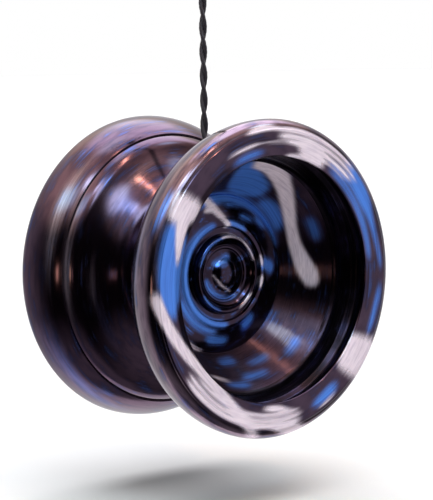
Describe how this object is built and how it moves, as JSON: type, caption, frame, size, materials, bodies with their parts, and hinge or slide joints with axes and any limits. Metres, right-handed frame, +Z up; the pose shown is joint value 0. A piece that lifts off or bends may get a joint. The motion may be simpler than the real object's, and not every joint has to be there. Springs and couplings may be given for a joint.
{
  "type": "yo-yo",
  "caption": "Long-spinning metal yo-yo with two flared, cupped halves on a ball bearing, hanging from a twisted string that ends in a finger loop.",
  "frame": {"origin": "centre of the ball bearing, midway between the two halves, on the axle", "axes": "+Y along the axle towards the rear half, +Z up along the taut string, +X to the right seen from the front half"},
  "size_m": [0.056, 0.0384, 0.1107],
  "materials": {
    "anodised_aluminium": "polished, splash anodised in gunmetal, blue and silver",
    "silicone": "soft matt silicone",
    "screw_steel": "black oxide",
    "bearing_steel": "ground and polished",
    "ball_steel": "mirror polished",
    "cage_steel": "pressed",
    "shield_steel": "rolled sheet",
    "string_fibre": "twisted polyester"
  },
  "bodies": {
    "held_string": {"string": "string_fibre", "axle_loop": "string_fibre", "slip_knot": "string_fibre", "finger_loop": "string_fibre", "bearing_outer_race": "bearing_steel", "front_bearing_shield": "shield_steel", "rear_bearing_shield": "shield_steel", "front_shield_clip": "bearing_steel", "rear_shield_clip": "bearing_steel"},
    "spinning_half": {"rear_half": "anodised_aluminium", "rear_response_pad": "silicone", "axle_screw": "screw_steel", "bearing_inner_race": "bearing_steel"},
    "unscrewing_half": {"front_half": "anodised_aluminium", "front_response_pad": "silicone"},
    "ball_cage": {"bearing_cage": "cage_steel"},
    "ball_1": {"bearing_ball_1": "ball_steel"},
    "ball_2": {"bearing_ball_2": "ball_steel"},
    "ball_3": {"bearing_ball_3": "ball_steel"},
    "ball_4": {"bearing_ball_4": "ball_steel"},
    "ball_5": {"bearing_ball_5": "ball_steel"},
    "ball_6": {"bearing_ball_6": "ball_steel"},
    "ball_7": {"bearing_ball_7": "ball_steel"},
    "ball_8": {"bearing_ball_8": "ball_steel"}
  },
  "joints": [
    {"name": "spin", "type": "hinge", "parent": "held_string", "child": "spinning_half", "pos_m": [0, 0, 0], "axis": [0, 1, 0], "continuous": true},
    {"name": "front_half_unscrew", "type": "slide", "parent": "spinning_half", "child": "unscrewing_half", "axis": [0, -1, 0], "range_m": [0, 0.00455]},
    {"name": "cage_orbit", "type": "hinge", "parent": "held_string", "child": "ball_cage", "pos_m": [0, 0, 0], "axis": [0, 1, 0], "continuous": true},
    {"name": "ball_1_roll", "type": "hinge", "parent": "ball_cage", "child": "ball_1", "pos_m": [0.0044, 0, 0.00182], "axis": [0, 1, 0], "continuous": true},
    {"name": "ball_2_roll", "type": "hinge", "parent": "ball_cage", "child": "ball_2", "pos_m": [0.00182, 0, 0.0044], "axis": [0, 1, 0], "continuous": true},
    {"name": "ball_3_roll", "type": "hinge", "parent": "ball_cage", "child": "ball_3", "pos_m": [-0.00182, 0, 0.0044], "axis": [0, 1, 0], "continuous": true},
    {"name": "ball_4_roll", "type": "hinge", "parent": "ball_cage", "child": "ball_4", "pos_m": [-0.0044, 0, 0.00182], "axis": [0, 1, 0], "continuous": true},
    {"name": "ball_5_roll", "type": "hinge", "parent": "ball_cage", "child": "ball_5", "pos_m": [-0.0044, 0, -0.00182], "axis": [0, 1, 0], "continuous": true},
    {"name": "ball_6_roll", "type": "hinge", "parent": "ball_cage", "child": "ball_6", "pos_m": [-0.00182, 0, -0.0044], "axis": [0, 1, 0], "continuous": true},
    {"name": "ball_7_roll", "type": "hinge", "parent": "ball_cage", "child": "ball_7", "pos_m": [0.00182, 0, -0.0044], "axis": [0, 1, 0], "continuous": true},
    {"name": "ball_8_roll", "type": "hinge", "parent": "ball_cage", "child": "ball_8", "pos_m": [0.0044, 0, -0.00182], "axis": [0, 1, 0], "continuous": true}
  ],
  "couplings": [
    {"joint": "cage_orbit", "follows": "spin", "ratio": 0.41664},
    {"joint": "ball_1_roll", "follows": "spin", "ratio": -2.9157},
    {"joint": "ball_2_roll", "follows": "spin", "ratio": -2.9157},
    {"joint": "ball_3_roll", "follows": "spin", "ratio": -2.9157},
    {"joint": "ball_4_roll", "follows": "spin", "ratio": -2.9157},
    {"joint": "ball_5_roll", "follows": "spin", "ratio": -2.9157},
    {"joint": "ball_6_roll", "follows": "spin", "ratio": -2.9157},
    {"joint": "ball_7_roll", "follows": "spin", "ratio": -2.9157},
    {"joint": "ball_8_roll", "follows": "spin", "ratio": -2.9157}
  ]
}
